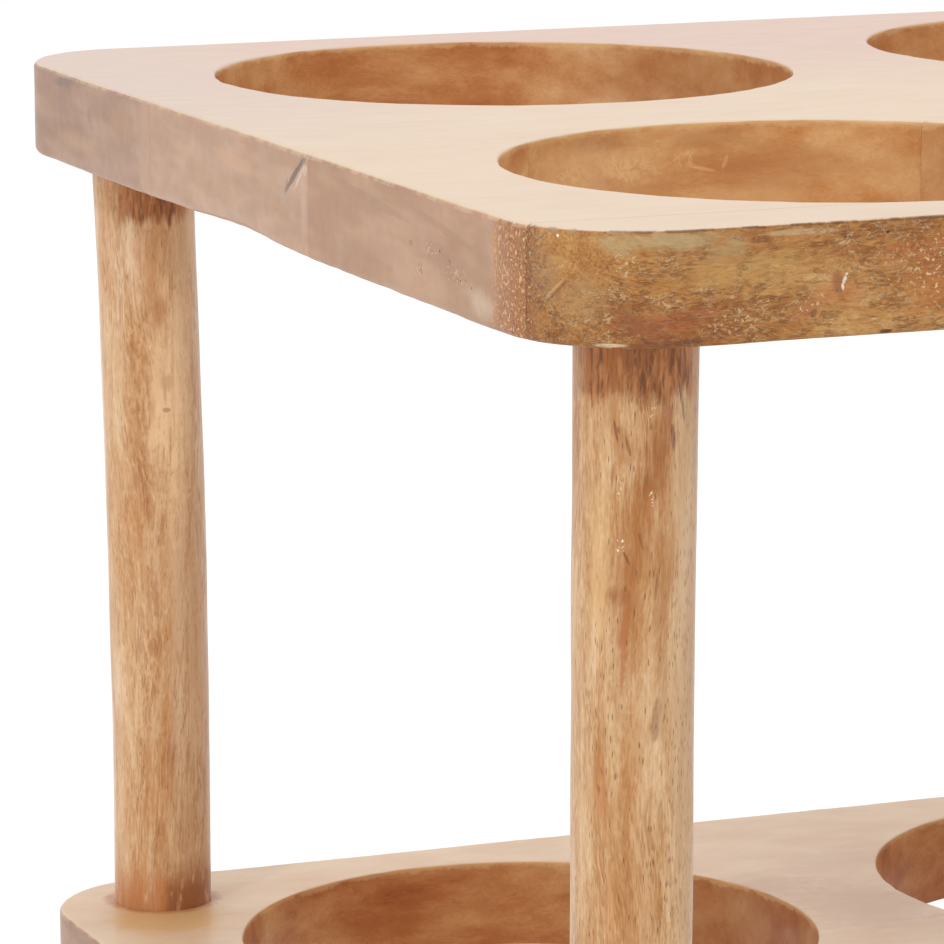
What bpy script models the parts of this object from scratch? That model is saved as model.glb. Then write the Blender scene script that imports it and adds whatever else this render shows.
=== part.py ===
"""Two-tier wooden egg holder tray, modelled in Blender 4.5 (metres, +Z up).

Each tier is a thin panel glued up from four staves that run along X. Three columns and two
rows of round holes go right through it, and the eggs stand in them. The front row of holes
is wider than the second stave, so it cuts that stave into four short blocks. Four round
posts are glued into blind sockets under the upper tier, pass through the lower tier and
stand on the table as short legs.

The origin is on the table, under the middle of the tray. +X runs along the long side and
+Y from the front edge to the back edge.
"""

import math
from collections import namedtuple

import bmesh
import bpy
from mathutils import Vector

# Driving dimensions
LENGTH = 0.158               # of the upper tier, along X
LOWER_LENGTH = 0.1564        # of the lower tier, along X
WIDTH = 0.102                # along Y
PANEL = 0.00635              # thickness of a tier
CORNER_RADIUS = 0.0082       # of a tier, seen from above
ARRIS = 0.0004               # softened edge along the top and the underside
COLUMNS = 3
COLUMN_PITCH = 0.0496        # between the centres of neighbouring columns
ROW_INSET = 0.0252           # from the front or back edge to the row's centre
POST_RADIUS = 0.0035
POST_INSET = 0.0080          # from both edges of a corner to the post's centre
LEG = 0.018                  # from the table to the lower tier
TIER_GAP = 0.0548            # clear height between the tiers
SOCKET_DEPTH = 0.0045        # blind socket under the upper tier
SEAMS = (0.0059, 0.0397, 0.0698)    # glue lines, measured from the front edge
CLEARANCE = 0.0003           # gap between neighbouring pieces

# Worked out from them
UPPER_BASE = LEG + PANEL + TIER_GAP
ROW_Y = WIDTH / 2 - ROW_INSET
POST_X = LENGTH / 2 - POST_INSET
POST_Y = WIDTH / 2 - POST_INSET
REACH = 0.01                 # how far a cutter runs past what it cuts

# What differs between the tiers: the height of the underside, the length, the radius of the
# egg holes, how far the middle column lies off the middle of the panel, and the lower and
# upper end of the post sockets above the underside.
Tier = namedtuple("Tier", "name base length hole_radius drift socket")
LOWER = Tier("lower", LEG, LOWER_LENGTH, 0.0203, 0.0005, (-REACH, PANEL + REACH))
UPPER = Tier("upper", UPPER_BASE, LENGTH, 0.0198, -0.0014, (-REACH, SOCKET_DEPTH))

# Fineness
CORNER_SEGMENTS = 10
HOLE_SEGMENTS = 56
POST_SEGMENTS = 28
SHARP_ANGLE = math.radians(35)


def clear_scene():
    for old in list(bpy.data.objects):
        bpy.data.objects.remove(old, do_unlink=True)


def wood(name, colour, roughness):
    material = bpy.data.materials.new(name)
    material.use_nodes = True
    shader = material.node_tree.nodes["Principled BSDF"]
    shader.inputs["Base Color"].default_value = (*colour, 1.0)
    shader.inputs["Roughness"].default_value = roughness
    shader.inputs["Metallic"].default_value = 0.0
    return material


def add_object(name, bm, material=None):
    """Turn a bmesh into an object, shaded smooth except across real edges."""
    bmesh.ops.recalc_face_normals(bm, faces=bm.faces)
    mesh = bpy.data.meshes.new(name)
    bm.to_mesh(mesh)
    bm.free()
    mesh.shade_smooth()
    mesh.set_sharp_from_angle(angle=SHARP_ANGLE)
    if material:
        mesh.materials.append(material)
    obj = bpy.data.objects.new(name, mesh)
    bpy.context.scene.collection.objects.link(obj)
    return obj


def as_cutter(obj):
    obj.hide_render = True
    obj.display_type = "WIRE"
    return obj


def boolean(obj, cutter, operation):
    modifier = obj.modifiers.new(f"{operation.lower()} {cutter.name}", "BOOLEAN")
    modifier.operation = operation
    modifier.solver = "EXACT"
    modifier.object = cutter


def panel_outline(tier):
    """The tier's rounded rectangle, anticlockwise, as points on the XY plane."""
    points = []
    corners = ((1, 1, 0), (-1, 1, 90), (-1, -1, 180), (1, -1, 270))
    for side_x, side_y, start in corners:
        centre_x = side_x * (tier.length / 2 - CORNER_RADIUS)
        centre_y = side_y * (WIDTH / 2 - CORNER_RADIUS)
        for i in range(CORNER_SEGMENTS + 1):
            angle = math.radians(start + 90 * i / CORNER_SEGMENTS)
            points.append((centre_x + CORNER_RADIUS * math.cos(angle),
                           centre_y + CORNER_RADIUS * math.sin(angle)))
    return points


def panel_bmesh(tier):
    """The whole tier before it is split and drilled, standing on z = 0."""
    bm = bmesh.new()
    ring = [bm.verts.new((x, y, 0)) for x, y in panel_outline(tier)]
    bottom = bm.faces.new(ring)
    raised = bmesh.ops.extrude_face_region(bm, geom=[bottom])["geom"]
    top_verts = [item for item in raised if isinstance(item, bmesh.types.BMVert)]
    bmesh.ops.translate(bm, verts=top_verts, vec=(0, 0, PANEL))
    rims = [edge for edge in bm.edges if abs(edge.verts[0].co.z - edge.verts[1].co.z) < ARRIS]
    bmesh.ops.bevel(bm, geom=rims, offset=ARRIS, segments=1, affect="EDGES")
    return bm


def cylinder_bmesh(radius, low, high, segments, centres):
    """Upright cylinders from low to high, one at each (x, y)."""
    bm = bmesh.new()
    for x, y in centres:
        made = bmesh.ops.create_cone(bm, cap_ends=True, segments=segments,
                                     radius1=radius, radius2=radius, depth=high - low)
        bmesh.ops.translate(bm, verts=made["verts"], vec=(x, y, (low + high) / 2))
    return bm


def block_bmesh(low, high):
    """A box between two opposite corners."""
    bm = bmesh.new()
    made = bmesh.ops.create_cube(bm, size=1.0)
    size = Vector(high) - Vector(low)
    bmesh.ops.scale(bm, verts=made["verts"], vec=size)
    bmesh.ops.translate(bm, verts=made["verts"], vec=(Vector(low) + Vector(high)) / 2)
    return bm


def column_places(tier):
    """X of each column's centre, evenly spaced about the tier's middle column."""
    return [tier.drift + COLUMN_PITCH * (i - (COLUMNS - 1) / 2) for i in range(COLUMNS)]


def stave_regions(tier):
    """Where each stave lies: (name, x from, x to, y from, y to) on the tier."""
    half = CLEARANCE / 2
    end = LENGTH / 2 + REACH
    cuts = [-WIDTH / 2 - REACH] + [seam - WIDTH / 2 for seam in SEAMS] + [WIDTH / 2 + REACH]
    lanes = [(low + half, high - half) for low, high in zip(cuts, cuts[1:])]
    front, second, third, back = lanes
    regions = [("front_stave", -end, end, *front)]
    blocks = ("left_end", "left_web", "right_web", "right_end")
    splits = [-end] + column_places(tier) + [end]
    for block, low, high in zip(blocks, splits, splits[1:]):
        regions.append((f"second_stave_{block}", low, high, *second))
    regions.append(("third_stave", -end, end, *third))
    regions.append(("back_stave", -end, end, *back))
    return regions


def post_centres():
    return [(side_x * POST_X, side_y * POST_Y) for side_y in (-1, 1) for side_x in (-1, 1)]


def tier_cutters(tier):
    """The egg holes and the post sockets of one tier, above its underside."""
    egg_centres = [(x, y) for y in (-ROW_Y, ROW_Y) for x in column_places(tier)]
    eggs = cylinder_bmesh(tier.hole_radius, -REACH, PANEL + REACH, HOLE_SEGMENTS, egg_centres)
    sockets = cylinder_bmesh(POST_RADIUS + CLEARANCE, *tier.socket, POST_SEGMENTS,
                             post_centres())
    return [as_cutter(add_object(f"{tier.name}_egg_hole_cutter", eggs)),
            as_cutter(add_object(f"{tier.name}_socket_cutter", sockets))]


def make_tier(tier, material):
    """Split the panel into its staves, then drill the egg holes and the sockets."""
    empty = bpy.data.objects.new(f"{tier.name}_tier", None)
    bpy.context.scene.collection.objects.link(empty)
    empty.location.z = tier.base
    cutters = tier_cutters(tier)
    for cutter in cutters:
        cutter.parent = empty
    for name, x_low, x_high, y_low, y_high in stave_regions(tier):
        lane = block_bmesh((x_low, y_low, -REACH), (x_high, y_high, PANEL + REACH))
        lane_cutter = as_cutter(add_object(f"{tier.name}_{name}_lane", lane))
        stave = add_object(f"{tier.name}_{name}", panel_bmesh(tier), material)
        boolean(stave, lane_cutter, "INTERSECT")
        for cutter in cutters:
            boolean(stave, cutter, "DIFFERENCE")
        for piece in (lane_cutter, stave):
            piece.parent = empty


def make_posts(material):
    """Four posts, from the table to just short of the blind sockets' ends."""
    top = UPPER_BASE + SOCKET_DEPTH - CLEARANCE
    names = ("front_left", "front_right", "back_left", "back_right")
    for name, (x, y) in zip(names, post_centres()):
        post = add_object(f"post_{name}",
                          cylinder_bmesh(POST_RADIUS, 0, top, POST_SEGMENTS, [(0, 0)]), material)
        post.location = (x, y, 0)


def main():
    clear_scene()
    stave_wood = wood("stave_wood", (0.56, 0.33, 0.17), 0.45)
    post_wood = wood("post_wood", (0.62, 0.40, 0.21), 0.5)
    make_tier(LOWER, stave_wood)
    make_tier(UPPER, stave_wood)
    make_posts(post_wood)


main()
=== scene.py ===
"""Looks of the wooden egg holder tray: fine meshes, wood, studio and camera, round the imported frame."""
import math
from collections import namedtuple

import bmesh
import bpy
from mathutils import Matrix, Vector, noise


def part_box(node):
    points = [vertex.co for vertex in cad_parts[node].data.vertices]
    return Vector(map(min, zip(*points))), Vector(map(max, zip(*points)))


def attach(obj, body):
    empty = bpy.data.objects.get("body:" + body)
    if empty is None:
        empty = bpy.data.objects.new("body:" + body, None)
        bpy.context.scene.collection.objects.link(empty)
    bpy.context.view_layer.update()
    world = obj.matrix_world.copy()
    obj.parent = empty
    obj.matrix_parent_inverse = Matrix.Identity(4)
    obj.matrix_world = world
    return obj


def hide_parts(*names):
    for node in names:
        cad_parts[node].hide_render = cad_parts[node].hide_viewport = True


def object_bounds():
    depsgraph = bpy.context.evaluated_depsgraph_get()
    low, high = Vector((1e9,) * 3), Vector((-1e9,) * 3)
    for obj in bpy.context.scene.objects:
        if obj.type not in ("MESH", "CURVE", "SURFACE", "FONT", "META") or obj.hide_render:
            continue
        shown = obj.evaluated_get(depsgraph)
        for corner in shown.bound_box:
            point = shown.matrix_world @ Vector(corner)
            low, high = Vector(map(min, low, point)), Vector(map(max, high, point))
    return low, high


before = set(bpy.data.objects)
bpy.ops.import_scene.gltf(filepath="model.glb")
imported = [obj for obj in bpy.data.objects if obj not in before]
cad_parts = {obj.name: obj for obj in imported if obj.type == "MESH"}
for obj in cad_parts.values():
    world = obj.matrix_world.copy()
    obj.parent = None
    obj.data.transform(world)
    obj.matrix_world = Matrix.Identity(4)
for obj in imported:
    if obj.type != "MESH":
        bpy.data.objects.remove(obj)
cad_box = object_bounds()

MM = 0.001
TIERS = ("upper", "lower")
STAVES = ("front_stave", "second_stave_left_end", "second_stave_left_web",
          "second_stave_right_web", "second_stave_right_end", "third_stave", "back_stave")
POSTS = ("front_left", "front_right", "back_left", "back_right")

# Dimensions that the frame doesn't state node by node
CORNER_RADIUS = 8.2 * MM
HOLE_RADIUS = {"upper": 19.8 * MM, "lower": 20.3 * MM}
COLUMN_DRIFT = {"upper": -1.4 * MM, "lower": 0.5 * MM}
COLUMN_PITCH = 49.6 * MM
ROW_INSET = 25.2 * MM
# The open glue line behind each of these staves, and the slack round a post in its socket
GLUE_GAP = {"front_stave": 0.04 * MM, "second_stave_left_end": 0.02 * MM, "third_stave": 0.02 * MM}
SOCKET_SLACK = 0.02 * MM
# How much deeper the panel is at its front edge than at its back edge
FRONT_SAG = 0.24 * MM
# How much a post's radius grows from its foot to its upper end
POST_TAPER = 0.14 * MM
# Where the lower arris of the left end is worn the most
WORN_Y = 4 * MM
# Radius of the rounding at a post's foot
FOOT_ROUND = 0.35 * MM
# How far a cutter runs past what it cuts
REACH = 2 * MM
# Faces that meet at more than this stay sharp
SHARP_ANGLE = math.radians(38)
# Fineness of the meshes
OUTLINE_STEP = 0.5 * MM
HOLE_SEGMENTS = 120
POST_SEGMENTS = 64
POST_ROWS = 130
SOCKET_ROWS = 12


# ---------------------------------------------------------------- shape helpers

def wobble(point, wavelength, seed):
    """Smooth noise between about -1 and 1 at a point, the same each run."""
    return noise.noise(Vector(point) / wavelength + Vector((seed, 1.7 * seed, -0.6 * seed)))


def mesh_object(name, bm):
    bmesh.ops.recalc_face_normals(bm, faces=bm.faces)
    mesh = bpy.data.meshes.new(name)
    bm.to_mesh(mesh)
    bm.free()
    obj = bpy.data.objects.new(name, mesh)
    bpy.context.scene.collection.objects.link(obj)
    return obj


def skin_rings(bm, rings):
    """Join closed rings of points, from low to high, into a tube and cap both ends."""
    loops = [[bm.verts.new(point) for point in ring] for ring in rings]
    count = len(loops[0])
    for below, above in zip(loops, loops[1:]):
        for i in range(count):
            j = (i + 1) % count
            bm.faces.new((below[i], below[j], above[j], above[i]))
    bm.faces.new(list(reversed(loops[0])))
    bm.faces.new(loops[-1])


def edge_profile(low, high, bottom_radius, top_radius, steps):
    """(inset, z) pairs up a board's edge: rounded bottom arris, side, rounded top arris."""
    turns = [math.pi / 2 * i / steps for i in range(steps + 1)]
    profile = [(bottom_radius * (1 - math.sin(turn)), low + bottom_radius * (1 - math.cos(turn)))
               for turn in turns]
    side_low, side_high = low + bottom_radius, high - top_radius
    profile += [(0.0, side_low + (side_high - side_low) * part) for part in (0.25, 0.5, 0.75)]
    profile += [(top_radius * (1 - math.cos(turn)), high - top_radius * (1 - math.sin(turn)))
                for turn in turns]
    return profile


def cut(obj, cutter):
    """Take the cutter out of the object and delete the cutter."""
    modifier = obj.modifiers.new("cut", "BOOLEAN")
    modifier.operation = "DIFFERENCE"
    modifier.solver = "EXACT"
    modifier.object = cutter
    graph = bpy.context.evaluated_depsgraph_get()
    mesh = bpy.data.meshes.new_from_object(obj.evaluated_get(graph))
    obj.modifiers.clear()
    obj.data = mesh
    bpy.data.objects.remove(cutter, do_unlink=True)


def finish_shape(obj):
    """Smooth shading that keeps flat faces flat and real edges sharp."""
    obj.data.shade_smooth()
    obj.data.set_sharp_from_angle(angle=SHARP_ANGLE)
    weighted = obj.modifiers.new("flat faces stay flat", "WEIGHTED_NORMAL")
    weighted.keep_sharp = True
    weighted.weight = 100


# ---------------------------------------------------------------- posts

# Each post is set by eye and isn't quite straight. For x and y, in millimetres: how far it
# stands off its place, how far it leans from the lower to the upper end, and its bow.
POST_SHAPE = {
    "front_left": ((-0.27, 0.55, 0.0), (0.0, -0.10, 0.05)),
    "front_right": ((0.15, -0.15, -0.20), (0.0, 0.12, 0.10)),
    "back_left": ((0.09, -1.39, 0.67), (1.23, -2.28, 0.0)),
    "back_right": ((-0.10, 0.25, 0.22), (0.10, 0.20, -0.15)),
}


def post_axis(name, box, z):
    """Where the post's axis is at height z."""
    low, high = box
    part = (z - low.z) / (high.z - low.z)
    arch = 1 - (2 * part - 1) ** 2
    middle = (low + high) / 2
    away = [(off + lean * (part - 0.5) + bow * arch) * MM for off, lean, bow in POST_SHAPE[name]]
    return Vector((middle.x + away[0], middle.y + away[1]))


def post_rings(name, low_z, high_z, rows, grow, end_round):
    """Rings of points up a post, its radius changing slightly as a hand-sanded dowel's does."""
    seed = POSTS.index(name) * 5.3
    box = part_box(f"post_{name}")
    full_radius = (box[1].x - box[0].x) / 2 + grow
    rings = []
    for row in range(rows + 1):
        z = low_z + (high_z - low_z) * row / rows
        axis = post_axis(name, box, z)
        taper = POST_TAPER * ((z - box[0].z) / (box[1].z - box[0].z) - 0.5)
        ring = []
        for i in range(POST_SEGMENTS):
            angle = 2 * math.pi * i / POST_SEGMENTS
            out = Vector((math.cos(angle), math.sin(angle)))
            radius = full_radius + taper + 0.05 * MM * wobble((0, 0, z), 17 * MM, seed)
            radius += 0.05 * MM * wobble((out.x * 4 * MM, out.y * 4 * MM, z), 7 * MM, seed + 2)
            radius -= end_round * max(0.0, 1 - (z - low_z) / (2 * end_round)) ** 2 if end_round else 0
            place = axis + out * radius
            ring.append((place.x, place.y, z))
        rings.append(ring)
    return rings


def make_post(name):
    low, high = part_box(f"post_{name}")
    bm = bmesh.new()
    skin_rings(bm, post_rings(name, low.z, high.z, POST_ROWS, 0.0, FOOT_ROUND))
    post = mesh_object(f"fine_post_{name}", bm)
    finish_shape(post)
    return post


# ---------------------------------------------------------------- tiers

def rounded_outline(x_half, y_half, radius, step):
    """Points and outward directions along a rounded rectangle, anticlockwise."""
    points = []
    corners = ((1, 1, 0), (-1, 1, 90), (-1, -1, 180), (1, -1, 270))
    arc_steps = max(8, round(radius * math.pi / 2 / step))
    for index, (side_x, side_y, start) in enumerate(corners):
        centre = Vector((side_x * (x_half - radius), side_y * (y_half - radius)))
        for i in range(arc_steps + 1):
            angle = math.radians(start + 90 * i / arc_steps)
            out = Vector((math.cos(angle), math.sin(angle)))
            points.append((centre + out * radius, out))
        next_x, next_y, _ = corners[(index + 1) % 4]
        goal = Vector((next_x * (x_half - radius), next_y * (y_half - radius))) + out * radius
        start_point = points[-1][0]
        straight_steps = max(2, round((goal - start_point).length / step))
        for i in range(1, straight_steps):
            points.append((start_point.lerp(goal, i / straight_steps), out))
    return points


def panel_object(tier, low, high):
    """The whole tier with its uneven arrises, before it is drilled and split."""
    columns = []
    for point, out in rounded_outline(high.x, high.y, CORNER_RADIUS, OUTLINE_STEP):
        spot = (point.x, point.y, low.z)
        # The radii of both arrises, in millimetres: an even part and slow and fine wobbles
        nicks = 0.12 * wobble(spot, 7 * MM, 3) + 0.06 * wobble(spot, 1.1 * MM, 8)
        top = max(0.06, 0.22 + 0.20 * out.x * out.x + nicks)
        bottom = max(0.10, 0.38 + 0.2 * wobble(spot, 9 * MM, 5) + 0.12 * wobble(spot, 1.8 * MM, 6))
        if point.x < low.x / 2:
            bottom += math.exp(-((point.y - WORN_Y) / (9 * MM)) ** 2)
        sag = FRONT_SAG * (high.y - point.y) / (high.y - low.y)
        column = []
        for inset, z in edge_profile(low.z - sag, high.z, bottom * MM, top * MM, 4):
            sway = 0.08 * MM * (1 + wobble((point.x, point.y, z), 14 * MM, 12))
            sway += 0.03 * MM * wobble((point.x, point.y, z), 2.5 * MM, 14)
            place = point - out * (inset + sway)
            column.append((place.x, place.y, z))
        columns.append(column)
    bm = bmesh.new()
    skin_rings(bm, list(zip(*columns)))
    return mesh_object(f"{tier}_panel", bm)


def skin_hole(bm, tier, low, high, x, y):
    """An upright cutter whose ends flare, so that the hole's edges come out softened."""
    radius = HOLE_RADIUS[tier]
    columns = []
    for i in range(HOLE_SEGMENTS):
        angle = 2 * math.pi * i / HOLE_SEGMENTS
        out = Vector((math.cos(angle), math.sin(angle)))
        spot = (x + out.x * radius, y + out.y * radius, high)
        top = max(0.06, 0.20 + 0.16 * wobble(spot, 5 * MM, 21) + 0.14 * wobble(spot, 1.4 * MM, 22)) * MM
        bottom = (0.3 + 0.15 * wobble(spot, 6 * MM, 27)) * MM
        profile = [(bottom, low - REACH)]
        profile += edge_profile(low - FRONT_SAG, high, bottom, top, 3)
        profile += [(top, high + REACH)]
        column = []
        for flare, z in profile:
            sway = 0.06 * MM * wobble((spot[0], spot[1], z), 8 * MM, 31)
            place = Vector((x, y)) + out * (radius + flare + sway)
            column.append((place.x, place.y, z))
        columns.append(column)
    skin_rings(bm, list(zip(*columns)))


def tier_cutter(tier, low, high, hole_centres):
    """The egg holes and the post sockets of a tier as one cutter."""
    bm = bmesh.new()
    for x, y in hole_centres:
        skin_hole(bm, tier, low.z, high.z, x, y)
    for name in POSTS:
        socket_top = min(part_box(f"post_{name}")[1].z, high.z + REACH) + SOCKET_SLACK
        skin_rings(bm, post_rings(name, low.z - REACH, socket_top, SOCKET_ROWS, SOCKET_SLACK, 0.0))
    return mesh_object(f"{tier}_cutter", bm)


def lane_piece(source, name, low, high):
    """The part of a tier between two opposite corners (x, y), closed where it is cut."""
    bm = bmesh.new()
    bm.from_mesh(source.data)
    planes = (((low[0], 0, 0), (-1, 0, 0)), ((high[0], 0, 0), (1, 0, 0)),
              ((0, low[1], 0), (0, -1, 0)), ((0, high[1], 0), (0, 1, 0)))
    for place, normal in planes:
        geometry = list(bm.verts) + list(bm.edges) + list(bm.faces)
        bmesh.ops.bisect_plane(bm, geom=geometry, plane_co=place, plane_no=normal,
                               clear_outer=True, dist=1e-7)
        open_edges = [edge for edge in bm.edges if edge.is_boundary]
        if open_edges:
            bmesh.ops.holes_fill(bm, edges=open_edges)
    return mesh_object(name, bm)


def make_tier(tier):
    """Fine staves in the place of the tier's CAD staves, by the staves' names."""
    boxes = {name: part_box(f"{tier}_{name}") for name in STAVES}
    low = Vector([min(box[0][i] for box in boxes.values()) for i in range(3)])
    high = Vector([max(box[1][i] for box in boxes.values()) for i in range(3)])
    panel = panel_object(tier, low, high)
    row = (high.y - low.y) / 2 - ROW_INSET
    column_x = [COLUMN_DRIFT[tier] + COLUMN_PITCH * step for step in (-1, 0, 1)]
    cut(panel, tier_cutter(tier, low, high, [(x, y) for y in (-row, row) for x in column_x]))
    bm = bmesh.new()
    bm.from_mesh(panel.data)
    bmesh.ops.triangulate(bm, faces=[face for face in bm.faces if len(face.verts) > 4])
    bm.to_mesh(panel.data)
    bm.free()

    past_x, past_y = high.x + 5 * MM, high.y + 5 * MM
    lane_starts, lane_ends = [-past_y], []
    for before, after in (("front_stave", "second_stave_left_end"),
                          ("second_stave_left_end", "third_stave"), ("third_stave", "back_stave")):
        seam = (boxes[before][1].y + boxes[after][0].y) / 2
        lane_ends.append(seam - GLUE_GAP[before] / 2)
        lane_starts.append(seam + GLUE_GAP[before] / 2)
    lanes = list(zip(lane_starts, lane_ends + [past_y]))
    splits = (-past_x, *column_x, past_x)
    regions = {"front_stave": (-past_x, past_x, *lanes[0]),
               "third_stave": (-past_x, past_x, *lanes[2]),
               "back_stave": (-past_x, past_x, *lanes[3])}
    for name, x_low, x_high in zip(STAVES[1:5], splits, splits[1:]):
        regions[name] = (x_low, x_high, *lanes[1])
    pieces = {}
    for name, (x_low, x_high, y_low, y_high) in regions.items():
        piece = lane_piece(panel, f"fine_{tier}_{name}", (x_low, y_low), (x_high, y_high))
        finish_shape(piece)
        pieces[name] = piece
    bpy.data.objects.remove(panel, do_unlink=True)
    return pieces


# ---------------------------------------------------------------- shader graphs

def rgb(red, green, blue):
    """A colour given as 0 to 255 on screen, as linear values."""
    return tuple(((c / 255 + 0.055) / 1.055) ** 2.4 if c > 10 else c / 3294 for c in (red, green, blue))


class Graph:
    """Short ways to add shader nodes and get at their output sockets."""

    def __init__(self, material):
        material.use_nodes = True
        self.material = material
        self.tree = material.node_tree
        self.tree.nodes.clear()

    def node(self, kind, **settings):
        made = self.tree.nodes.new(kind)
        for key, value in settings.items():
            setattr(made, key, value)
        return made

    def feed(self, socket, value):
        if isinstance(value, bpy.types.NodeSocket):
            self.tree.links.new(value, socket)
        elif value is not None:
            socket.default_value = value

    def math(self, operation, a, b=None):
        made = self.node("ShaderNodeMath", operation=operation)
        for socket, value in zip(made.inputs, (a, b)):
            self.feed(socket, value)
        return made.outputs[0]

    def plus(self, a, b):
        return self.math("ADD", a, b)

    def minus(self, a, b):
        return self.math("SUBTRACT", a, b)

    def times(self, first, *others):
        for other in others:
            first = self.math("MULTIPLY", first, other)
        return first

    def vector(self, operation, a, b=None):
        made = self.node("ShaderNodeVectorMath", operation=operation)
        self.feed(made.inputs[0], a)
        if b is not None:
            self.feed(made.inputs[1], b)
        return made.outputs["Value" if operation == "LENGTH" else "Vector"]

    def noise(self, vector, detail=2.0, roughness=0.5, distortion=0.0, colour=False):
        made = self.node("ShaderNodeTexNoise")
        for key, value in (("Vector", vector), ("Scale", 1.0), ("Detail", detail),
                           ("Roughness", roughness), ("Distortion", distortion)):
            self.feed(made.inputs[key], value)
        return made.outputs["Color" if colour else "Fac"]

    def cells(self, vector):
        """(distance, random number) of the nearest cell."""
        made = self.node("ShaderNodeTexVoronoi", feature="F1")
        self.feed(made.inputs["Vector"], vector)
        self.feed(made.inputs["Scale"], 1.0)
        return made.outputs["Distance"], self.split(made.outputs["Color"])[0]

    def span(self, value, low, high, out_low=0.0, out_high=1.0, smooth=True):
        """The value mapped from low..high to out_low..out_high, clamped."""
        made = self.node("ShaderNodeMapRange",
                         interpolation_type="SMOOTHSTEP" if smooth else "LINEAR")
        for socket, item in zip(made.inputs, (value, low, high, out_low, out_high)):
            self.feed(socket, item)
        return made.outputs[0]

    def mix(self, factor, a, b):
        made = self.node("ShaderNodeMix", data_type="RGBA")
        self.feed(made.inputs["Factor"], factor)
        for name, value in (("A", a), ("B", b)):
            socket = [item for item in made.inputs if item.name == name and item.type == "RGBA"][0]
            self.feed(socket, (*value, 1.0) if isinstance(value, tuple) else value)
        return [item for item in made.outputs if item.type == "RGBA"][0]

    def split(self, vector):
        made = self.node("ShaderNodeSeparateXYZ")
        self.feed(made.inputs[0], vector)
        return made.outputs

    def join(self, x, y, z):
        made = self.node("ShaderNodeCombineXYZ")
        for socket, value in zip(made.inputs, (x, y, z)):
            self.feed(socket, value)
        return made.outputs[0]

    def scaled(self, vector, *scale):
        """The vector times one number, or times three, one for each axis."""
        return self.vector("MULTIPLY", vector, scale if len(scale) == 3 else scale * 3)

    def ramp(self, value, stops):
        made = self.node("ShaderNodeValToRGB")
        self.feed(made.inputs["Fac"], value)
        ramp = made.color_ramp
        while len(ramp.elements) < len(stops):
            ramp.elements.new(0.5)
        for element, (place, colour) in zip(ramp.elements, stops):
            element.position = place
            element.color = (*colour, 1.0)
        return made.outputs["Color"]

    def bump(self, height, distance, strength, normal=None):
        made = self.node("ShaderNodeBump")
        self.feed(made.inputs["Height"], height)
        self.feed(made.inputs["Distance"], distance)
        self.feed(made.inputs["Strength"], strength)
        if normal is not None:
            self.feed(made.inputs["Normal"], normal)
        return made.outputs["Normal"]


# ---------------------------------------------------------------- wood

# A mark on a face: its centre, its two radii, how far it is turned, its colour and its strength.
# Colours are plain 0 to 255 on screen from here on.
Mark = namedtuple("Mark", "across z reach height turn colour amount")
RAGGED = 1.3      # how ragged a mark's outline is
BROAD = 0.7       # marks taller than this, in millimetres, fade out softly
WAVE_HEIGHT = 0.3 * MM    # of the slow unevenness of a hand-sanded face


def shades(red, green, blue):
    """Four tones of a wood, dark to pale, round its middle colour; the dark ones are richer."""
    middle = rgb(red, green, blue)
    return [tuple(channel ** power for channel in middle) for power in (1.7, 1.25, 0.88, 0.62)]


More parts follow.
